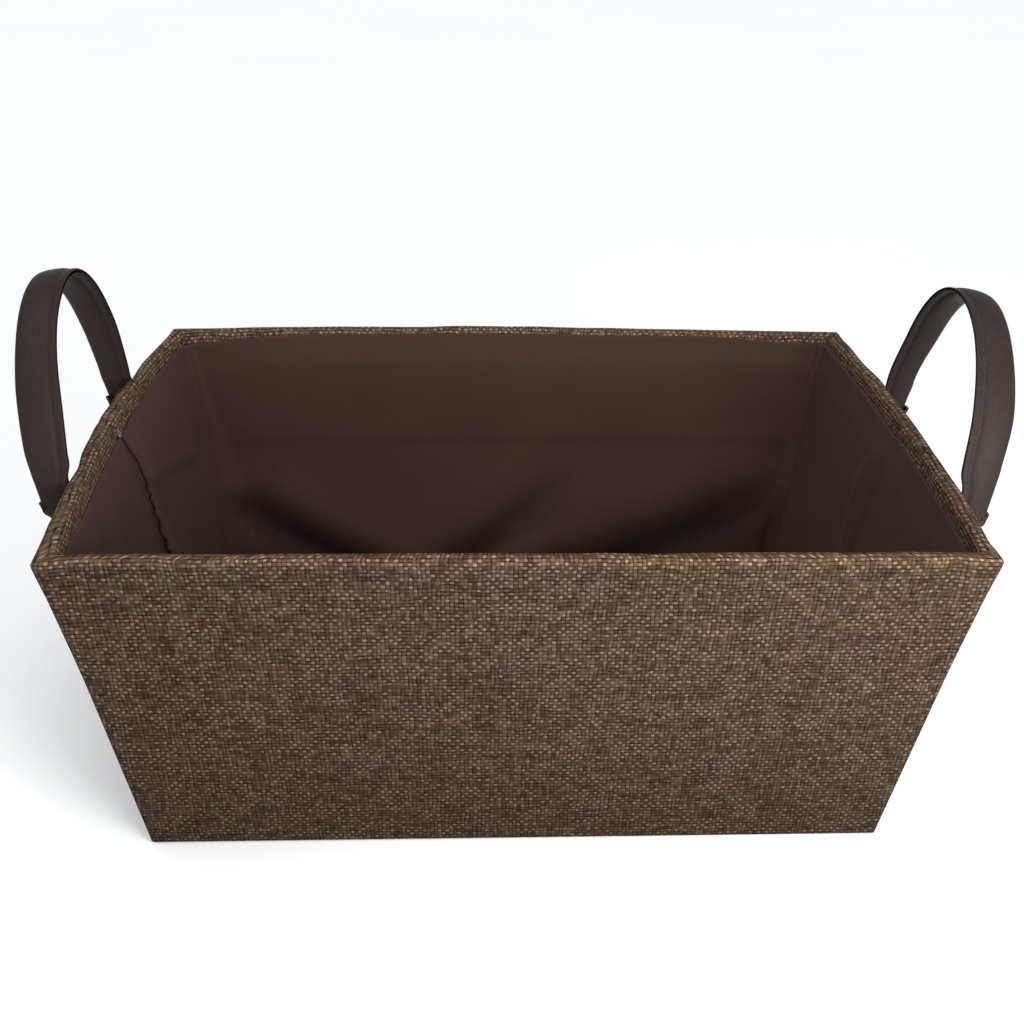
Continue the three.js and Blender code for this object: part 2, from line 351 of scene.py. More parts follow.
def woven_cloth():
    cloth = Finish("woven_cover_cloth", Roughness=0.95)
    cloth.shader.inputs["Specular IOR Level"].default_value = 0.06
    place = cloth.cloth_place()
    across, up = cloth.across_up(place)

    # The yarns wander a little, then run over and under each other.
    sway = cloth.noise(place, 60.0, 3.0)
    lift = cloth.noise(cloth.vector(across, up, 0.3), 75.0, 3.0)
    warps = cloth.math("MULTIPLY_ADD", across, 1 / warp_pitch, cloth.times(sway, 1.4))
    wefts = cloth.math("MULTIPLY_ADD", up, 1 / weft_pitch, cloth.times(lift, 1.4))
    warp_wave = cloth.math("SINE", cloth.times(warps, pi))
    weft_wave = cloth.math("SINE", cloth.times(wefts, pi))

    # Between some neighbours the gap is open for a while, and between others it is shut.
    beside_weft = cloth.times(cloth.math("ROUND", wefts), 3.1)
    beside_warp = cloth.times(cloth.math("ROUND", warps), 3.7)
    along_gap = cloth.vector(cloth.times(across, 130.0), beside_weft)
    up_gap = cloth.vector(beside_warp, cloth.times(up, 160.0), 5.0)
    weft_gap = cloth.noise(along_gap, 1.0, 4.0, 0.6)
    warp_gap = cloth.noise(up_gap, 1.0, 4.0, 0.6)
    warp_side = cloth.math("ABSOLUTE", warp_wave)
    weft_side = cloth.math("ABSOLUTE", weft_wave)
    warp_round = cloth.math("POWER", warp_side, cloth.spread(warp_gap, 0.38, 0.66, 0.25, 1.2))
    weft_round = cloth.math("POWER", weft_side, cloth.spread(weft_gap, 0.38, 0.66, 0.3, 1.4))
    warp_open = cloth.spread(warp_gap, 0.40, 0.68, 0.02, 0.8)
    weft_open = cloth.spread(weft_gap, 0.40, 0.68, 0.02, 0.9)
    warp_slit = cloth.spread(warp_side, 0.0, warp_open, 0.42, 1.0)
    weft_slit = cloth.spread(weft_side, 0.0, weft_open, 0.34, 1.0)
    slits = cloth.times(warp_slit, weft_slit)
    weft_rise = cloth.times(warp_wave, cloth.math("SIGN", weft_wave))
    warp_rise = cloth.times(weft_wave, cloth.math("SIGN", warp_wave))
    weft_crown = cloth.math("MULTIPLY_ADD", weft_rise, 0.25, 0.72)
    warp_crown = cloth.math("MULTIPLY_ADD", warp_rise, -0.25, 0.64)
    weft_height = cloth.times(weft_round, weft_crown)
    warp_height = cloth.times(warp_round, warp_crown)
    top = cloth.math("MAXIMUM", weft_height, warp_height)
    weft_on_top = cloth.math("GREATER_THAN", weft_height, warp_height)

    # Each yarn is spun from light and dark fibre, so its tone drifts along it and from one
    # crossing to the next. Where a weft passes over, its pale fibre shows on the crown as a painted
    # highlight.
    weft_number = cloth.math("FLOOR", wefts)
    warp_number = cloth.math("FLOOR", warps)
    crossing = cloth.node("TexWhiteNoise", {"Vector": cloth.vector(warp_number, weft_number)})
    along_weft = cloth.vector(cloth.times(across, 85.0), cloth.times(weft_number, 3.7))
    along_warp = cloth.vector(cloth.times(warp_number, 5.3), cloth.times(up, 110.0), 9.0)
    weft_tone = cloth.math("MULTIPLY_ADD", crossing, 0.15, cloth.noise(along_weft, 1.0, 4.0, 0.65))
    warp_tone = cloth.math("MULTIPLY_ADD", crossing, 0.14, cloth.noise(along_warp, 1.0, 3.0, 0.6))
    dark = (0.033, 0.0185, 0.0113, 1)
    middle = (0.064, 0.0395, 0.0240, 1)
    pale = (0.175, 0.125, 0.082, 1)
    tan = (0.092, 0.062, 0.039, 1)
    weft_colour = cloth.mix(cloth.spread(weft_tone, 0.35, 0.62), dark, middle)
    ridge = cloth.math("POWER", weft_side, 1.5)
    # Painted highlight: the crown of a weft is made paler where it passes over.
    crown_highlight = cloth.times(ridge, cloth.spread(weft_rise, -0.1, 0.7))
    paler = cloth.times(cloth.spread(weft_tone, 0.46, 0.74), crown_highlight)
    weft_colour = cloth.mix(paler, weft_colour, pale)
    warp_colour = cloth.mix(cloth.spread(warp_tone, 0.4, 0.85), dark, tan)
    colour = cloth.mix(weft_on_top, warp_colour, weft_colour)

    # Broad patches lean to olive or to plum. Painted shade darkens the gaps between yarns and the
    # foot of the cloth, and painted light makes the rim's crown paler.
    patch = cloth.noise(place, 13.0, 2.0)
    olive = (0.92, 0.95, 0.62, 1)
    plum = (0.80, 0.68, 0.78, 1)
    colour = cloth.mix(cloth.spread(patch, 0.5, 0.75, 0.0, 0.45), colour, olive, "MULTIPLY")
    colour = cloth.mix(cloth.spread(patch, 0.5, 0.25, 0.0, 0.45), colour, plum, "MULTIPLY")
    # Painted shade in the gaps and low places between the yarns.
    gap = cloth.times(slits, cloth.spread(top, 0.1, 0.6, 0.2, 1.0))
    # Painted shade: the cloth is darker towards its foot.
    painted_foot_shade = cloth.spread(up, 0.0, 0.15, 0.72, 1.0)
    # Painted light: the rim's crown is paler, as light falls on the top.
    lightening = cloth.spread(up, 0.172, 0.180, 1.0, 1.9)
    shade = cloth.times(cloth.times(gap, painted_foot_shade), lightening)
    colour = cloth.mix(1.0, colour, cloth.vector(shade, shade, shade), "MULTIPLY")
    hairs = cloth.noise(place, 2600.0, 3.0, 0.7)
    relief = cloth.math("MULTIPLY_ADD", hairs, 0.5, cloth.times(top, slits))
    return cloth.use(colour=colour, normal=cloth.bump(relief, 0.7 * mm, 1.0))


cover_cloth = woven_cloth()
cover_corner = 1.6 * mm
least_bend = 0.5 * mm
rim_thickness = 6 * mm
rim_round = 2.5 * mm
foot_round = 2.2 * mm
turned_under = 5 * mm
turned_in = 12 * mm
rise_steps = 56


def arc(centre, radius, first, last, steps):
    """Points on an arc in depth and height. An angle of zero points away from the bin's inside."""
    points = []
    for i in range(steps + 1):
        angle = first + (last - first) * i / steps
        points.append((centre[0] - radius * cos(angle), centre[1] + radius * sin(angle)))
    return points


def straight(first, last, steps):
    """Points between two others, both left out."""
    points = []
    for i in range(1, steps):
        points.append(tuple(a + (b - a) * i / steps for a, b in zip(first, last)))
    return points


def with_lengths(points):
    """(depth, z, length of cloth so far) down a section."""
    rows = [(*points[0], 0.0)]
    for before, after in zip(points, points[1:]):
        rows.append((*after, rows[-1][2] + hypot(after[0] - before[0], after[1] - before[1])))
    return rows


def cover_section():
    foot = arc((foot_round, foot_round), foot_round, -pi / 2, 0, 4)
    outer = arc((rim_round, height - rim_round), rim_round, 0, pi / 2, 5)
    inner_centre = (rim_thickness - rim_round, height - rim_round)
    inner = arc(inner_centre, rim_round, pi / 2, pi, 5)
    under = [(foot_round + turned_under, 0.0)]
    edge = [(rim_thickness, height - turned_in)]
    rise = straight(foot[-1], outer[0], rise_steps)
    crown = straight(outer[-1], inner[0], 3)
    drop = straight(inner[-1], edge[0], 4)
    return with_lengths(under + foot + rise + outer + crown + inner + drop + edge)


def smooth(low, high, value):
    share = min(1.0, max(0.0, (value - low) / (high - low)))
    return share * share * (3 - 2 * share)


def mound(distance, width):
    return exp(-((distance / width) ** 2))


def seam_pull(station, z):
    """How strongly the closing seam draws the cloth in, from 0 away from it to 1 on it."""
    if station.wall != "left" or station.corner:
        return 0.0
    return mound((station.share - seam_at) * walls["left"].span(z), 3.2 * mm)


def rim_drawn(station, spot):
    """How far the left rim bulges between the handle's legs, and is drawn in beside them."""
    if station.wall != "left":
        return 0.0
    beside_legs = mound(spot.y + 52 * mm, 14 * mm) + mound(spot.y - 60 * mm, 14 * mm)
    return 0.9 * mm * mound(spot.y - 5 * mm, 26 * mm) - 1.3 * mm * beside_legs


foot_stand = {"left": 0.1 * mm, "front": 1.1 * mm, "right": 0.1 * mm, "back": 0.3 * mm}
wall_after = {"left": "front", "front": "right", "right": "back", "back": "left"}


def foot_flare(station, z):
    """The cloth stands off its boards a little at the foot, most on the front."""
    here = foot_stand[station.wall]
    after = foot_stand[wall_after[station.wall]]
    return (here + (after - here) * station.corner) * (1 - z / height)


def cover_point(station, row):
    """The cover's face, drawn tight but not flat: it ripples, swells at the rim and pulls at its
    seam, and its corners stand a little proud."""
    depth, z, _ = row
    inside = smooth(0.3 * rim_thickness, 0.8 * rim_thickness, depth)
    bend = max(cover_corner - depth, least_bend)
    spot = strip_point(station, depth, z, bend)
    standing = smooth(0, 12 * mm, z)
    near_rim = smooth(height - 22 * mm, height, z)
    at_corner = 1.0 if station.corner else smooth(0.9, 1.0, abs(station.share))
    ripple = noise.noise(spot * 22) * 0.6 * mm + noise.noise(spot * 70) * 0.3 * mm
    ripple += near_rim * noise.noise(spot * 45 + Vector((3, 0, 0))) * 0.5 * mm
    ear = 0.9 * mm * at_corner * smooth(height - 70 * mm, height, z)
    pull = seam_pull(station, z)
    swell = near_rim * noise.noise(spot * 19 + Vector((0, 7, 0))) * 1.1 * mm
    outward = standing * ripple * (1 - at_corner) + ear + near_rim * 0.5 * mm - 0.3 * mm * pull
    outward += swell * (1 - at_corner) + rim_drawn(station, spot) * near_rim
    outward += foot_flare(station, z)
    inward = near_rim * (0.8 * mm + 0.5 * ripple) - 0.5 * swell - 1.3 * mm * pull
    depth += inside * inward - (1 - inside) * outward
    sag = 0.55 * mm * noise.noise(spot * 33 + Vector((5, 0, 0)))
    sag += 0.5 * mm * at_corner * smooth(0, -60 * mm, spot.y)
    z -= near_rim * (sag + pull * (0.3 + 1.2 * inside) * mm)
    moved = strip_point(station, depth, z, bend)
    moved.z = max(0.0, moved.z)
    return moved


def cover_map(station, row, start):
    _, z, length = row
    return (cloth_across(station, start.wall, z, cover_corner), length)


cover_stations = stations_round(3.0 * mm, 5)
cover_rows = cover_section()
cover_shape = formed_sheet(cover_stations, cover_rows, cover_point, cover_map)
cover_wrap = finished_object("woven_cover", cover_shape, cover_cloth)
give_thickness(cover_wrap, fabric)
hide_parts("cover_wrap")
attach(cover_wrap, "bin")


# ---- Base cover ----
# The panel of the same cloth under the bin, drawn flat below the floor board and sewn to the
# walls' turned-under edge.
panel_thickness = 0.9 * mm


def base_point(u, v):
    """A point of the flat panel, u and v from -1 to 1. Its very edge curls up a little."""
    inset = 3.4 * mm
    x = u * (half_length_at(0) - inset)
    y = v * (half_width_at(0) - inset)
    edge = max(abs(u), abs(v))
    z = 0.25 * mm + 0.5 * mm * max(0.0, (edge - 0.985) / 0.015)
    return Vector((x, y, z))


def panel_map(u, v, start):
    return (u * half_length_at(0), v * half_width_at(0))


def shares(steps):
    return [2 * i / steps - 1 for i in range(steps + 1)]


base_cloth = formed_sheet(shares(96), shares(60), base_point, panel_map)
bmesh.ops.reverse_faces(base_cloth, faces=base_cloth.faces)
base_cover = finished_object("base_cover", base_cloth, cover_cloth)
give_thickness(base_cover, panel_thickness)
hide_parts("cover_base")
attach(base_cover, "bin")


# ---- Strap leather and strap ends ----
# Near-black faux leather with a fine pebbled grain. Past its pocket each strap is cut to a narrow
# neck, which goes through a slot in the board to a tail that lies flat on the board's inside.
def strap_leather():
    hide = Finish("strap_leather")
    hide.shader.inputs["Specular IOR Level"].default_value = 0.055
    place = hide.cloth_place()
    cells = hide.node("TexVoronoi", {"Vector": place, "Scale": 1300.0}, output="Distance")
    folds = hide.noise(place, 260.0, 4.0, 0.6)
    lightening = hide.noise(place, 32.0, 3.0)
    colour = hide.mix(lightening, (0.021, 0.0148, 0.0130, 1), (0.034, 0.0252, 0.0225, 1))
    colour = hide.mix(hide.spread(cells, 0.2, 0.7, 0.0, 0.4), colour, (0.014, 0.010, 0.009, 1))
    relief = hide.math("MULTIPLY_ADD", folds, 1.2, hide.times(cells, -0.5))
    roughness = hide.spread(lightening, 0.3, 0.7, 0.4, 0.5)
    return hide.use(colour=colour, roughness=roughness, normal=hide.bump(relief, 0.06 * mm, 0.7))


leather = strap_leather()
strap_width = 17.5 * mm
tail_depths = (4.8 * mm, 6.4 * mm)
neck_reach = 4 * mm
neck_half = 1.7 * mm
slot_foot = height - 27 * mm
slot_top = height - 19 * mm
outward_x = {"left": -1, "right": 1}


def leg_places(side):
    """Where a handle's two legs cross the rim, along its wall."""
    places = {}
    for place in ("front", "rear"):
        low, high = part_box(f"cover_lip_{side}_{place}")
        places[place] = outward_x[side] * (low.y + high.y) / 2
    return places


def on_wall(wall, along, out, z):
    """A point a distance out from a wall's cloth face, at a place along it."""
    across = wall.reach(z) + out + belly_at(wall, along / wall.span(z), z)
    return turned(wall, along, across, z)


def add_wall_block(shape, wall, along, out, z, edge):
    """A block laid on a wall, each of its three sides between two limits, its edges rounded."""
    block = bmesh.ops.create_cube(shape, size=1.0)["verts"]
    for vertex in block:
        u, v, w = vertex.co + Vector((0.5, 0.5, 0.5))
        limits = zip((along, out, z), (u, v, w))
        sides = [low + (high - low) * share for (low, high), share in limits]
        vertex.co = on_wall(wall, *sides)
    edges = {line for vertex in block for line in vertex.link_edges}
    bmesh.ops.bevel(
        shape, geom=list(edges), offset=edge, affect="EDGES", segments=2, profile=0.5, material=-1)


def make_tail(side, place, along):
    """The strap's end past its pocket: a neck through the slot, and a flat tail on the board."""
    wall = walls[side]
    node = f"strap_end_{side}_{place}"
    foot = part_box(node)[0].z
    shape = bmesh.new()
    neck = (along - neck_half, along + neck_half)
    through = (-tail_depths[1] + 0.2 * mm, neck_reach)
    add_wall_block(shape, wall, neck, through, (slot_foot, slot_top), 0.3 * mm)
    tail = (along - strap_width / 2, along + strap_width / 2)
    flat = (-tail_depths[1], -tail_depths[0])
    add_wall_block(shape, wall, tail, flat, (foot, slot_top), 0.35 * mm)
    bmesh.ops.recalc_face_normals(shape, faces=shape.faces)
    piece = finished_object(f"strap_tail_{side}_{place}", shape, plain_hide)
    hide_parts(node)
    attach(piece, "bin")


def plain_leather():
    hide = Finish("strap_end_leather", Roughness=0.5)
    place = hide.own_place()
    cells = hide.node("TexVoronoi", {"Vector": place, "Scale": 1300.0}, output="Distance")
    colour = hide.mix(cells, (0.036, 0.029, 0.028, 1), (0.014, 0.011, 0.011, 1))
    return hide.use(colour=colour, normal=hide.bump(cells, 0.05 * mm, 0.6))


plain_hide = plain_leather()
staple_names = []
for side in ("left", "right"):
    for place, along in leg_places(side).items():
        make_tail(side, place, along)
        staple_names.append(f"staple_{side}_{place}")


# ---- Staples ----
# Bright steel wire staples that pin each strap's tail to the inside of its board. Each is a bent
# length of round wire, driven through the leather into the board.
def staple_wire():
    wire = Finish("staple_wire", Metallic=1.0, Roughness=0.32)
    drawn = wire.noise(wire.own_place(), 1800.0, 3.0)
    colour = wire.mix(drawn, (0.55, 0.55, 0.56, 1), (0.72, 0.72, 0.71, 1))
    return wire.use(colour=colour, roughness=wire.spread(drawn, 0.3, 0.7, 0.25, 0.42))


refinish(staple_names, staple_wire())


# ---- Lips ----
# Where a strap goes into the wall, the cover stands out round it in a small pocket of its own
# cloth, open at the top and sewn down to the wall below.
lip_mouth = height - 12 * mm
lip_foot = height - 29 * mm
lip_reach = 16.6 * mm
lip_half = 3.3 * mm
lip_side = 5 * mm
lip_girth = 46 * mm
nose_share = 0.35
wall_flare = 3.0 * mm


def lip_reach_at(z):
    below = max(0.0, lip_mouth - lip_side - z) / (lip_mouth - lip_side - lip_foot)
    return lip_reach + (0.6 * mm - lip_reach) * below ** 1.15


def lip_outline(t, reach):
    """A point on the pocket's plan, t from 0 to 1: out from the wall, round the strap's edge and
    back. Gives its place along the wall and how far it stands out."""
    nose = min(lip_half, reach * 0.6)
    flank = max(reach - nose, 0.0)
    if t < 0.5:
        along, out = lip_outline(1 - t, reach)
        return -along, out
    share = (t - 0.5) * 2
    if share < nose_share:
        angle = share / nose_share * pi / 2
        return lip_half * sin(angle), flank + nose * cos(angle)
    share = (share - nose_share) / (1 - nose_share)
    flare = wall_flare * max(0.0, (share - 0.7) / 0.3) ** 2
    return lip_half + flare, flank * (1 - share) - 0.2 * mm * share


def make_lip(side, place, along):
    wall = walls[side]
    half_turns = [i / 44 for i in range(45)]
    levels = [i / 22 for i in range(23)]

    def lip_point(t, level):
        z = lip_foot + (lip_mouth - lip_foot) * level
        offset, out = lip_outline(t, lip_reach_at(z))
        open_mouth = max(0.0, level - 0.8) / 0.2
        out += open_mouth * 0.6 * mm * (out / lip_reach)
        wobble = noise.noise(Vector((t * 5, level * 3, along * 40))) * 0.5 * mm
        where = along + offset * (1 + 0.12 * open_mouth)
        z += level * (0.8 * mm * sin(t * 9 + along * 50)) - 1.2 * mm * level * (out / lip_reach)
        return on_wall(wall, where, out + wobble * min(1, out / (2 * mm)), z)

    def lip_map(t, level, start):
        return (t * lip_girth, level * (lip_mouth - lip_foot) + 0.2 * t * mm)

    shape = formed_sheet(half_turns, levels, lip_point, lip_map)
    lip = finished_object(f"cloth_lip_{side}_{place}", shape, cover_cloth)
    give_thickness(lip, fabric)
    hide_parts(f"cover_lip_{side}_{place}")
    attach(lip, "bin")


for side in ("left", "right"):
    for place, along in leg_places(side).items():
        make_lip(side, place, along)


# ---- Lining ----
# A loose bag of thin dark brown polyester taffeta. Its folded top edge is glued over the cover's
# turned-in edge, and it closes at a lapped seam down the left end.
def taffeta():
    silk = Finish("lining_taffeta", Roughness=0.7)
    silk.shader.inputs["Specular IOR Level"].default_value = 0.1
    silk.shader.inputs["Sheen Weight"].default_value = 0.07
    silk.shader.inputs["Sheen Roughness"].default_value = 0.45
    silk.shader.inputs["Sheen Tint"].default_value = (0.9, 0.72, 0.66, 1)
    place = silk.cloth_place()
    across, up = silk.across_up(place)
    ribs = silk.math("SINE", silk.times(up, 2 * pi / (0.45 * mm)))
    picks = silk.math("SINE", silk.times(across, 2 * pi / (0.4 * mm)))
    weave = silk.times(ribs, picks)
    cloudy = silk.noise(place, 16.0, 3.0)
    streaks = silk.noise(silk.vector(across, silk.times(up, 9.0)), 90.0, 3.0)
    colour = silk.mix(cloudy, (0.039, 0.0195, 0.0155, 1), (0.052, 0.0268, 0.0212, 1))
    colour = silk.mix(silk.times(streaks, 0.35), colour, (0.030, 0.018, 0.015, 1))
    # Painted shade in the swag folds, from the mesh's crease mark.
    painted_fold_shade = silk.node("Attribute", {}, output=2, attribute_name="crease")
    colour = silk.mix(painted_fold_shade, colour, (0.016, 0.009, 0.008, 1))
    crumple = silk.noise(place, 60.0, 4.0, 0.55)
    soft = silk.bump(crumple, 1.4 * mm, 0.35)
    return silk.use(colour=colour, normal=silk.bump(weave, 0.03 * mm, 0.3, under=soft))


lining_cloth = taffeta()
taffeta_thickness = 0.35 * mm
lining_hem = 0.65 * mm
hem_depth = 6.15 * mm
hang_depth = 8.4 * mm
floor_level = 5.6 * mm
foot_bend = 9 * mm


def lining_top(spot):
    """The height of the lining's folded edge, lower on the ends than at the back and the front."""
    on_end = smooth(0.6, 0.97, abs(spot.x) / rim_half_length)
    rearward = smooth(-0.3, 1.0, spot.y / rim_half_width)
    forward = smooth(-0.5, -1.0, spot.y / rim_half_width)
    if spot.x < 0:
        low = (10.8 - 4 * rearward - 3 * forward) * mm
    else:
        low = (9 - 3 * rearward) * mm
    drop = 3.2 * mm + on_end * (low - 3.2 * mm)
    return height - drop + 0.9 * mm * noise.noise(spot * 30)


def seam_share(z):
    """The lapped seam's place on the left end, near its middle and a little bowed."""
    return seam_at - 0.022 * mound(z - 135 * mm, 28 * mm)


def crease(distance, lift, wide, sharp):
    """A fold: the cloth lifts over wide, then falls back within sharp on the far side."""
    if distance > 0:
        return lift * exp(-distance / wide)
    return lift * exp(distance / sharp)


# The loose folds low on the back: where each starts, passes and ends, as x and z, then the
# valley's width and how deep it lies, which also sets how dark its painted shade is.
Swag = namedtuple("Swag", "start middle end width depth")
swags = [
    Swag((-178 * mm, 80 * mm), (-150 * mm, 46 * mm), (-86 * mm, 20 * mm), 9 * mm, 7 * mm),
    Swag((48 * mm, 88 * mm), (6 * mm, 54 * mm), (-52 * mm, 10 * mm), 11 * mm, 5 * mm),
    Swag((178 * mm, 80 * mm), (122 * mm, 42 * mm), (40 * mm, 16 * mm), 14 * mm, 8 * mm),
]


def swag_distance(swag, x, z):
    """How far above a fold's curve a point is, and how far within its length from 0 to 1."""
    best = (1.0, 0.0)
    for i in range(25):
        t = i / 24
        near, bent, far = (1 - t) ** 2, 2 * t * (1 - t), t * t
        curve_x = near * swag.start[0] + bent * swag.middle[0] + far * swag.end[0]
        curve_z = near * swag.start[1] + bent * swag.middle[1] + far * swag.end[1]
        gap = hypot(x - curve_x, z - curve_z)
        if gap < abs(best[0]):
            best = (gap if z > curve_z else -gap, t)
    return best


def slack_back(x, z):
    """The back hangs loosest: one long crease across it, and the swags gathered below."""
    loose = 11 * mm * smooth(105 * mm, 30 * mm, z) * (0.8 + 0.2 * cos(x / (70 * mm)))
    line = crease(z - 107 * mm - 1.0 * mm * sin(x / (60 * mm)), 0.5 * mm, 9 * mm, 1.2 * mm)
    loose += line * smooth(182 * mm, 165 * mm, abs(x))
    for swag in swags:
        distance, t = swag_distance(swag, x, z)
        ends = smooth(0.0, 0.4, t)
        loose -= ends * swag.depth * mound(distance, swag.width)
        loose += ends * 0.5 * swag.depth * mound(distance - 2.2 * swag.width, 1.7 * swag.width)
    return loose


def slack_left(y, z, share):
    """The left end has one slanting tuck, and puckers where its halves are lapped."""
    loose = 3.5 * mm * smooth(120 * mm, 40 * mm, z)
    tuck = z - (128 * mm - (y - 28 * mm) * 0.28)
    reach = smooth(-2 * mm, 14 * mm, y) * smooth(98 * mm, 80 * mm, y)
    loose += reach * crease(tuck, 1.7 * mm, 16 * mm, 1.2 * mm)
    behind = (seam_share(z) - share) * walls["left"].span(z)
    if -0.5 * mm <= behind < 40 * mm:
        edge = mound(behind, 12 * mm)
        pucker = sin(2 * pi * z / (8.5 * mm) + 1.4 * sin(z / (5 * mm)))
        loose += edge * (1.3 * mm + 0.8 * mm * pucker * smooth(142 * mm, 128 * mm, z))
    return loose


def slack_right(y, z):
    """The right end has one upright crease that bows to the rear."""
    loose = 3.0 * mm * smooth(120 * mm, 40 * mm, z)
    bend = 11 * mm + 11 * mm * sin(pi * smooth(162 * mm, 84 * mm, z))
    reach = smooth(165 * mm, 150 * mm, z)
    return loose + reach * crease(bend - y, 1.3 * mm, 18 * mm, 1.5 * mm)


def slack_at(station, spot, share):
    """How far the lining hangs away from its board, inwards."""
    loose = 0.7 * mm * noise.noise(spot * 17) + 0.5 * mm * noise.noise(spot * 40)
    if station.wall == "back":
        loose += slack_back(spot.x, spot.z)
    elif station.wall == "left":
        loose += slack_left(spot.y, spot.z, share)
    elif station.wall == "right":
        loose += slack_right(spot.y, spot.z)
    else:
        loose += 3.5 * mm * smooth(120 * mm, 40 * mm, spot.z)
    return loose


def reseamed(station, half, z):
    """The share along the left end, so that its two halves meet and lap at the slanting seam."""
    if station.wall != "left" or station.corner:
        return station.share
    seam = seam_share(z)
    if half == 0:
        under = seam - 9 * mm / walls["left"].span(z)
        return under + (station.share - seam_at) / (1 - seam_at) * (1 - under)
    return -1 + (station.share + 1) / (seam_at + 1) * (seam + 1)


# The radius the lining takes low in the corner at each wall's end, going round.
corner_slack = {"left": 9 * mm, "front": 9 * mm, "right": 8 * mm, "back": 22 * mm}
wall_before = {after: before for before, after in wall_after.items()}


def lining_bend(station, z):
    """The lining's corner radius at a station, which changes evenly along each wall."""
    first = corner_slack[wall_before[station.wall]]
    last = corner_slack[station.wall]
    widest = first + (last - first) * (station.share + 1) / 2
    return 4 * mm + (widest - 4 * mm) * smooth(height, 60 * mm, z)


# The lining's stretches from its hidden hem to its foot: rows of faces, and length of cloth.
hem_width = 5 * mm
stretches = {
    "hem": (3, hem_width),
    "fold": (6, 2 * mm),
    "hang": (62, 158 * mm),
    "foot": (8, 14 * mm),
}


def lining_rows():
    """(kind, share of that stretch, length of cloth so far) from the hidden hem to the foot."""
    rows = []
    for kind, (steps, length) in stretches.items():
        so_far = rows[-1][2] if rows else 0.0
        first = 0 if not rows else 1
        for i in range(first, steps + 1):
            rows.append((kind, i / steps, so_far + length * i / steps))
    return rows


LiningColumn = namedtuple("LiningColumn", "station half")


def lining_point(column, row):
    station, half = column
    kind, share, _ = row
    guide = strip_point(station, hem_depth, height, lining_bend(station, height))
    top = lining_top(guide)
    fold_depth = hem_depth + lining_hem
    if kind == "hem":
        depth, z = hem_depth, top - hem_width * (1 - share)
    elif kind == "fold":
        depth = fold_depth - lining_hem * cos(share * pi)
        z = top + lining_hem * sin(share * pi)
    elif kind == "hang":
        low = floor_level + foot_bend
        z = top + (low - top) * share
        depth = fold_depth + lining_hem + (hang_depth - fold_depth) * smooth(0.0, 0.12, share)
    else:
        angle = share * pi / 2
        z = floor_level + foot_bend * (1 - sin(angle))
        depth = lining_hem + hang_depth + foot_bend * (1 - cos(angle)) * 1.4
    bend = lining_bend(station, z)
    along = reseamed(station, half, z)
    spot = strip_point(station, depth, z, bend, along)
    hanging = smooth(top, top - 14 * mm, z) * smooth(floor_level, floor_level + 3 * mm, z)
    inwards = max(0.0, hanging * slack_at(station, spot, along))
    if half == 1:
        inwards += 1.0 * mm * smooth(seam_at - 0.25, seam_at - 0.05, along)
    return strip_point(station, depth + inwards, z, bend, along)


def lining_map(column, row, start):
    station = column.station
    across = cloth_across(station, start.station.wall, 0.6 * height, 10 * mm)
    return (across, row[2])


lining_columns = []
lining_stations = stations_round(3.6 * mm, 8)
for place, station in enumerate(lining_stations):
    lining_columns.append(LiningColumn(station, 0 if place < len(lining_stations) / 2 else 1))
lining_levels = lining_rows()
lining_shape = formed_sheet(lining_columns, lining_levels, lining_point, lining_map)
lining_wrap = finished_object("lining_walls", lining_shape, lining_cloth)

# Painted shade: the cloth is darkest down in the swags.
painted_fold_shade = lining_wrap.data.attributes.new("crease", "FLOAT", "POINT")
for vertex, mark in zip(lining_wrap.data.vertices, painted_fold_shade.data):
    x, y, z = vertex.co
    if y > 0.75 * rim_half_width and z < 105 * mm:
        for swag in swags:
            distance, t = swag_distance(swag, x, z)
            dark = mound(distance + 0.3 * swag.width, 1.1 * swag.width) * smooth(0.0, 0.4, t)
            mark.value = max(mark.value, 0.1 * swag.depth / mm * dark)
give_thickness(lining_wrap, taffeta_thickness, offset=0)
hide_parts("lining_wrap")
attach(lining_wrap, "bin")


# ---- Seam tack ----
# A few stitches of pale thread, left fraying where the lining's seam meets the rim. They hold
# the top of the lap to the cover.
def pale_thread():
    thread = Finish("seam_thread", Roughness=0.8)
    twist = thread.noise(thread.own_place(), 1500.0, 2.0)
    return thread.use(colour=thread.mix(twist, (0.09, 0.07, 0.065, 1), (0.22, 0.19, 0.18, 1)))


def make_tack():
    shape = bmesh.new()
    for i in range(6):
        z = height - (6.2 + 0.8 * i) * mm
        along = seam_share(z) * walls["left"].span(z) + 1.5 * mm * sin(i * 2.3)
        centre = on_wall(walls["left"], along, -7.1 * mm, z)
        lie = Matrix.Rotation(i * 1.9, 4, "X") @ Matrix.Rotation(0.5 * sin(i * 1.3), 4, "Y")
        size = Matrix.Diagonal((0.45 * mm, 0.45 * mm, (1.2 + 0.4 * sin(i * 4.1)) * mm, 1))
        bmesh.ops.create_uvsphere(
            shape, u_segments=8, v_segments=6, radius=1,
            matrix=Matrix.Translation(centre) @ lie @ size)
    tack = finished_object("seam_tack", shape, pale_thread())
    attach(tack, "bin")


make_tack()


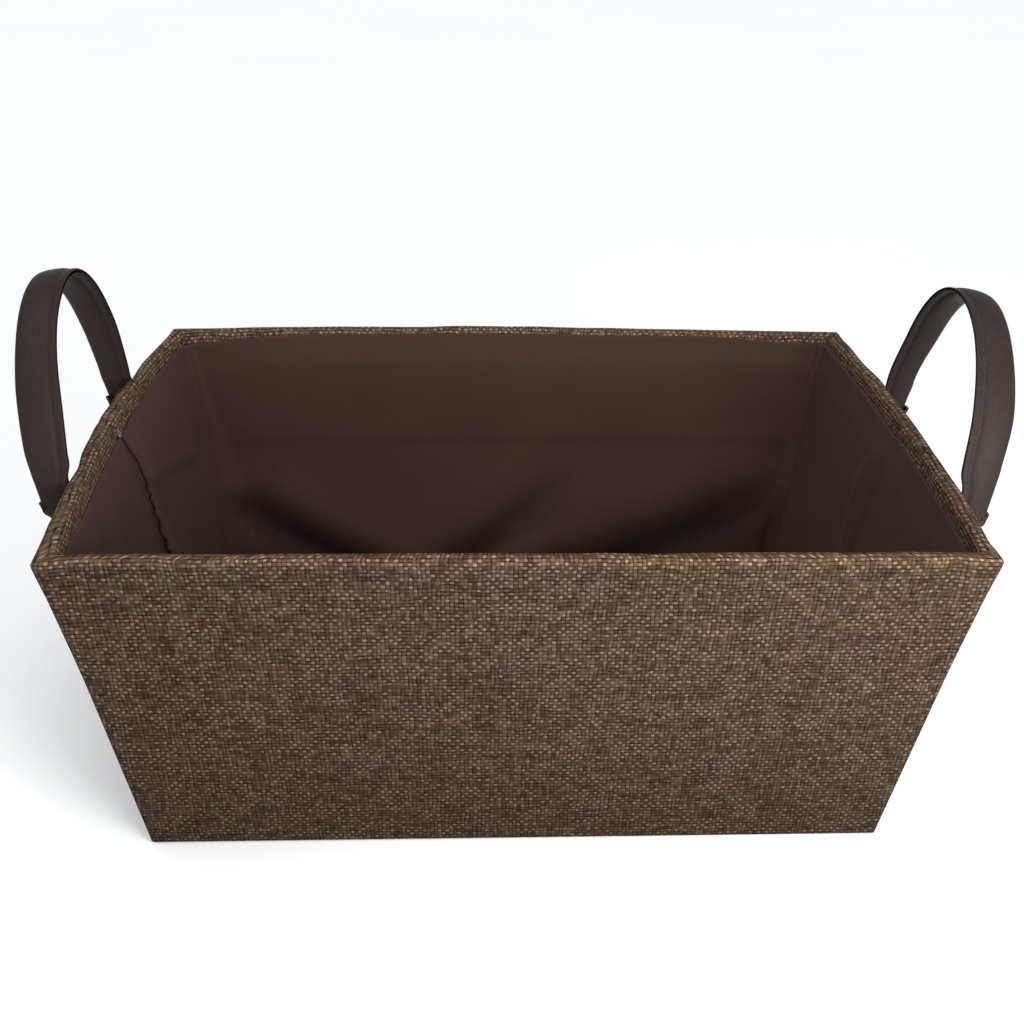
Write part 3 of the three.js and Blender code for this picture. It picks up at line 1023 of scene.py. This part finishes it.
# ---- Lining floor ----
# The bag's bottom panel, of the same taffeta and sewn to the foot of its walls. It lies loose on
# the floor board in shallow puckers.
def floor_point(u, v):
    x = u * (half_length_at(floor_level) - hang_depth - 4 * mm)
    y = v * (half_width_at(floor_level) - hang_depth - 4 * mm)
    spot = Vector((x, y, 0))
    rise = 1.0 * mm + 1.6 * mm * noise.noise(spot * 14) + 0.9 * mm * noise.noise(spot * 33)
    edge = max(abs(u), abs(v))
    rise *= smooth(1.0, 0.9, edge)
    rise += 1.6 * mm * mound(x * 0.4 + y - 20 * mm, 9 * mm) * smooth(1.0, 0.8, edge)
    return Vector((x, y, floor_level - 0.1 * mm + max(0.0, rise)))


floor_shape = formed_sheet(shares(120), shares(76), floor_point, panel_map)
lining_floor = finished_object("lining_bottom", floor_shape, lining_cloth)
give_thickness(lining_floor, taffeta_thickness)
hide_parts("lining_floor")
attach(lining_floor, "bin")


# ---- Handles ----
# Each handle is one strap of faux leather, folded round a filler strip and stitched along a flat
# flange on the bin's side. It arches from pocket to pocket, and bends just above the rim.
wall_gap = 0.4 * mm
arch_half_span = 63 * mm
arch_foot = 23 * mm
arch_top = {"left": 74.8 * mm, "right": 72.2 * mm}
arch_out = {"left": -0.9 * mm, "right": 1.5 * mm}
arch_droop = {"left": radians(9), "right": radians(12)}
handle_lean = radians(3.5)
skin = 0.5 * mm
bend_foot = height - 2.8 * mm
bend_top = height + 18 * mm

# Half of each section, from the folded edge to the flange: millimetres across, and half the
# thickness there.
strap_section = [
    (8.75, 0.0), (8.55, 0.75), (7.9, 1.35), (6.6, 1.8), (4.5, 2.1), (1.5, 2.2), (-1.5, 2.05),
    (-3.4, 1.7), (-4.6, 1.15), (-5.2, 0.85), (-5.8, 0.85), (-6.3, 1.05), (-7.6, 1.1), (-8.5, 1.0),
    (-8.75, 0.55),
]
filler_section = [
    (7.3, 0.3), (6.6, 0.9), (4.4, 1.2), (1.5, 1.3), (-1.2, 1.1), (-2.6, 0.6), (-2.9, 0.25),
]


def pressed_fibre():
    strip = Finish("filler_strip", Roughness=0.95)
    tangle = strip.noise(strip.own_place(), 1200.0, 5.0, 0.7)
    colour = strip.mix(tangle, (0.05, 0.05, 0.05, 1), (0.2, 0.2, 0.19, 1))
    return strip.use(colour=colour, normal=strip.bump(tangle, 0.2 * mm))


felt = pressed_fibre()


def dark_thread():
    thread = Finish("strap_thread", Roughness=0.7)
    twist = thread.noise(thread.own_place(), 2400.0, 2.0)
    colour = thread.mix(twist, (0.010, 0.008, 0.008, 1), (0.030, 0.025, 0.024, 1))
    return thread.use(colour=colour)


strap_thread = dark_thread()


def hinge_of(side):
    """The middle of the line along the rim that a handle tilts about."""
    joint = next(j for j in frame["joints"] if j["name"] == f"handle_{side}_tilt")
    return Vector(joint["pos_m"])


def strap_path(side, angle):
    """The strap's middle line in the world, and the direction of its inner face. angle runs from
    just under 0 at one pocket, over the arch, to just over pi at the other."""
    wall = walls[side]
    facing = outward_x[side]
    hinge = hinge_of(side)
    rise = arch_top[side] + arch_foot
    base = height - arch_foot
    beyond = min(0.0, angle) + max(0.0, angle - pi)
    held = min(pi, max(0.0, angle))
    y = -arch_half_span * cos(held)
    z = base + rise * (sin(held) - abs(beyond))
    inward = Vector((0, -y / arch_half_span**2, -(z - base) / rise**2))
    if beyond:
        inward = Vector((0, -y, 0))
    inward.normalize()
    place = hinge.y + y
    along = place * facing
    at_rim = min(z, height)
    beside = wall.reach(at_rim) + belly_at(wall, along / wall.span(at_rim), at_rim)
    beside += wall_gap + strap_width / 2
    leaning = abs(hinge.x) + (z - hinge.z) * sin(handle_lean)
    leaning += arch_out[side] * smooth(hinge.z, base + 0.6 * rise, z)
    share = smooth(height - 4 * mm, height + 12 * mm, z)
    reach = beside + (leaning - beside) * share
    return Vector((facing * reach, place, z)), inward


def strap_rows(side):
    """Angles up one leg, over and down the other, in even steps."""
    low = -3.5 * mm / (arch_top[side] + arch_foot)
    steps = 150
    return [low + (pi - 2 * low) * i / steps for i in range(steps + 1)]


def section_round():
    """The leather's outline as (across, half thickness): from its flange, round and back to it."""
    face = [(a * mm, h * mm) for a, h in strap_section]
    return [(a, -h) for a, h in reversed(face)] + face[1:]


def strap_side(side, across, z):
    """Across the strap, from the bin's side out. The arch's outer edge hangs a little low."""
    droop = arch_droop[side] * smooth(height + 15 * mm, height + arch_top[side], z)
    return Vector((outward_x[side] * across * cos(droop), 0, -across * sin(droop)))


pocket_squeeze = 0.16
neck_cut = 0.68


def strap_share(z):
    """The share of the strap's width left: it is squeezed at its pocket, and cut to its slot."""
    squeezed = 1 - pocket_squeeze * smooth(height + 42 * mm, height - 8 * mm, z)
    return squeezed * (1 - neck_cut * smooth(height - 16 * mm, slot_foot, z))


def strap_spread(side, middle):
    """How much wider a strap's front leg lies, towards the bin and away from it."""
    front = smooth(15 * mm, -25 * mm, middle.y)
    front *= smooth(height - 1 * mm, height + 8 * mm, middle.z)
    low = smooth(height + 66 * mm, height + 12 * mm, middle.z)
    if side == "left":
        return front * (0.3 + 2.4 * low) * mm, 0.0
    return front * 1.8 * low * mm, front * 1.0 * mm


def strap_point(side, corner, angle):
    """A point of the strap's skin. The leather is a little uneven."""
    across, thick = corner
    middle, inward = strap_path(side, angle)
    dent = 0.12 * mm * noise.noise(middle * 60 + Vector((across * 90, thick * 200, 0)))
    thick += dent if thick > 0 else -dent
    half = strap_width / 2
    share = (across + half) / strap_width
    inner, outer = strap_spread(side, middle)
    across = -half + (across + half) * strap_share(middle.z)
    across += outer * share - inner * (1 - share)
    return middle + strap_side(side, across, middle.z) + inward * thick


def swept(side, corners, angles):
    """A sheet that runs along a handle's path, its outline given as (across, half thickness)."""
    girth = [0.0]
    for before, after in zip(corners, corners[1:]):
        girth.append(girth[-1] + hypot(after[0] - before[0], after[1] - before[1]))

    def place(column, angle):
        return strap_point(side, column[0], angle)

    radius = 0.85 * (arch_top[side] + arch_foot)

    def strap_map(column, angle, start):
        return (column[1], angle * radius)

    return formed_sheet(list(zip(corners, girth)), angles, place, strap_map), girth[-1]


def make_strap(side):
    shape, girth = swept(side, section_round(), strap_rows(side))
    bmesh.ops.recalc_face_normals(shape, faces=shape.faces)
    strap = finished_object(f"strap_{side}", shape, leather)
    give_thickness(strap, skin)
    finer = strap.modifiers.new("finer", "SUBSURF")
    finer.levels = 1
    finer.render_levels = 1
    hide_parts(f"handle_{side}_sleeve")
    return strap


filler_start = 0.1


def make_filler(side):
    """The stiff strip inside the leather, which stops short of the pockets."""
    face = [(a * mm, h * mm) for a, h in filler_section]
    outline = face + [(a, -h) for a, h in reversed(face)] + face[:1]
    angles = [filler_start + (pi - 2 * filler_start) * i / 120 for i in range(121)]
    shape, _ = swept(side, outline, angles)
    bmesh.ops.remove_doubles(shape, verts=shape.verts, dist=0.01 * mm)
    open_edges = [edge for edge in shape.edges if edge.is_boundary]
    bmesh.ops.holes_fill(shape, edges=open_edges, sides=len(outline) + 2)
    bmesh.ops.recalc_face_normals(shape, faces=shape.faces)
    filler = finished_object(f"filler_{side}", shape, felt)
    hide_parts(f"handle_{side}_core")
    return filler


stitch_line = -5.5 * mm
stitch_start = 0.28
stitch_pitch = 3.4 * mm
stitch_length = 2.5 * mm
stitch_radius = 0.3 * mm
flange_half = 0.9 * mm


def make_stitches(side):
    """A row of stitches in the groove of the flange, on both faces of the strap."""
    shape = bmesh.new()
    angle = stitch_start
    turn_ahead = 0.01
    while angle < pi - stitch_start:
        middle, _ = strap_path(side, angle)
        ahead, _ = strap_path(side, angle + turn_ahead)
        step = (ahead - middle).length / turn_ahead
        direction = (ahead - middle).normalized()
        for face in (-1, 1):
            centre = strap_point(side, (stitch_line, face * flange_half), angle)
            turn = direction.to_track_quat("X", "Z").to_matrix().to_4x4()
            size = Matrix.Diagonal((stitch_length / 2, stitch_radius, stitch_radius, 1))
            bmesh.ops.create_uvsphere(
                shape, u_segments=6, v_segments=4, radius=1,
                matrix=Matrix.Translation(centre) @ turn @ size)
        angle += stitch_pitch / step
    stitches = finished_object(f"stitches_{side}", shape, strap_thread)
    return stitches


for side in ("left", "right"):
    end_x = outward_x[side] * rim_half_length
    for piece in (make_filler(side), make_strap(side), make_stitches(side)):
        low, high = (end_x, 0, bend_foot), (end_x, 0, bend_top)
        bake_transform(piece)
        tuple(low)
        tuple(high)
